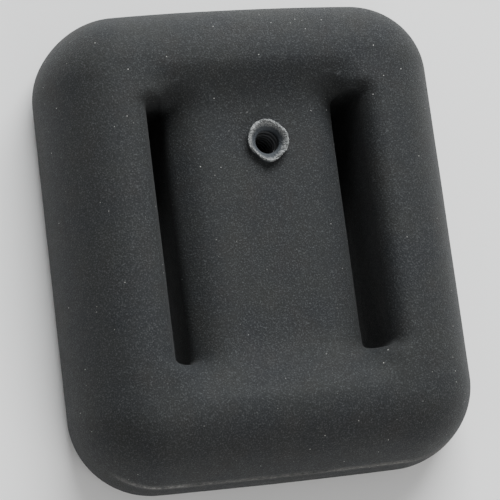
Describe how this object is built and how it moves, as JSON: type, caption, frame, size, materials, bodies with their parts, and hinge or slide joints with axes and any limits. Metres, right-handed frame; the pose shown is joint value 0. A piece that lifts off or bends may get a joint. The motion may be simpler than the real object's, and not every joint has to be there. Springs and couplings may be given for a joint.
{
  "type": "slotted belt weight",
  "caption": "Rounded rectangular soft-coated ballast block with a sunken bridge between parallel through slots for belt webbing, and a small torn-rimmed hook hole near one end.",
  "frame": {"origin": "middle of the flat back, on the surface that the block rests on", "axes": "+Z out of the front, away from the back; +Y along the slots, towards the end with the hook hole; +X across the bridge, to the right seen from the front"},
  "size_m": [0.0886, 0.105, 0.028],
  "materials": {
    "lead": "dull cast lead, oxidised",
    "vinyl": "matt soft vinyl with a fine dusty grain",
    "torn_vinyl": "rough torn vinyl, whitened by stretching"
  },
  "bodies": {
    "root": {"lead_core": "lead", "vinyl_coating": "vinyl", "hook_hole_collar": "torn_vinyl"}
  },
  "joints": []
}
